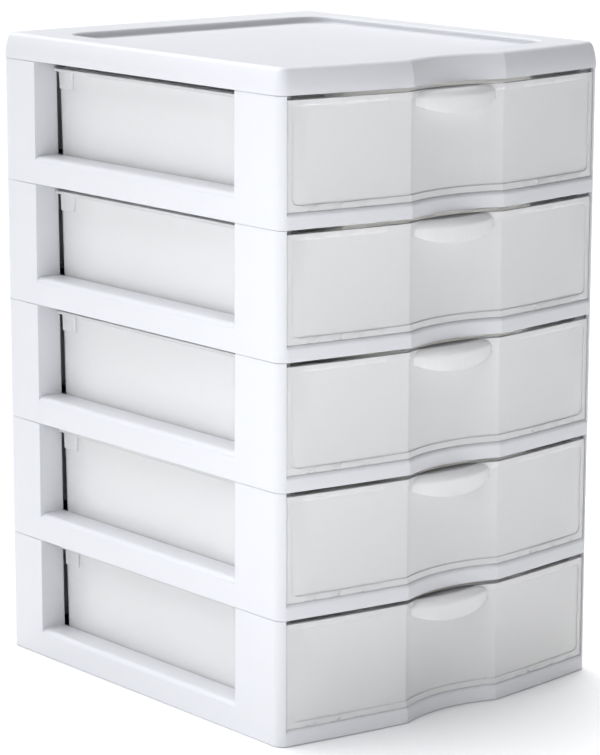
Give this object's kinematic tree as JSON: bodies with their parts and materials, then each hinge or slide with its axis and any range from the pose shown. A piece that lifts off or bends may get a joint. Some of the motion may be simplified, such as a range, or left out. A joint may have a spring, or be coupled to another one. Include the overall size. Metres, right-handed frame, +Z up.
{
  "type": "drawer tower",
  "caption": "Tabletop plastic drawer tower: stacked open white frames with a tray-topped cover, translucent pull-out tubs with waved fronts and hooded finger grips.",
  "frame": {"origin": "middle of the tower's bounding box in plan, at the height of the surface that it stands on", "axes": "+Z up, -Y the way the drawers open, +X to the right of a person facing the fronts"},
  "size_m": [0.2198, 0.2538, 0.346],
  "materials": {
    "white_polypropylene": "fine satin, as moulded",
    "frosted_polypropylene": "translucent, softly frosted, as moulded"
  },
  "bodies": {
    "cabinet": {"tier_frame_1": "white_polypropylene", "tier_frame_2": "white_polypropylene", "tier_frame_3": "white_polypropylene", "tier_frame_4": "white_polypropylene", "tier_frame_5": "white_polypropylene", "top_cover": "white_polypropylene"},
    "drawer_1": {"drawer_1": "frosted_polypropylene"},
    "drawer_2": {"drawer_2": "frosted_polypropylene"},
    "drawer_3": {"drawer_3": "frosted_polypropylene"},
    "drawer_4": {"drawer_4": "frosted_polypropylene"},
    "drawer_5": {"drawer_5": "frosted_polypropylene"}
  },
  "joints": [
    {"name": "drawer_1_slide", "type": "slide", "parent": "cabinet", "child": "drawer_1", "axis": [0, -1, 0], "range_m": [0, 0.1577]},
    {"name": "drawer_2_slide", "type": "slide", "parent": "cabinet", "child": "drawer_2", "axis": [0, -1, 0], "range_m": [0, 0.1577]},
    {"name": "drawer_3_slide", "type": "slide", "parent": "cabinet", "child": "drawer_3", "axis": [0, -1, 0], "range_m": [0, 0.1577]},
    {"name": "drawer_4_slide", "type": "slide", "parent": "cabinet", "child": "drawer_4", "axis": [0, -1, 0], "range_m": [0, 0.1577]},
    {"name": "drawer_5_slide", "type": "slide", "parent": "cabinet", "child": "drawer_5", "axis": [0, -1, 0], "range_m": [0, 0.1577]}
  ]
}
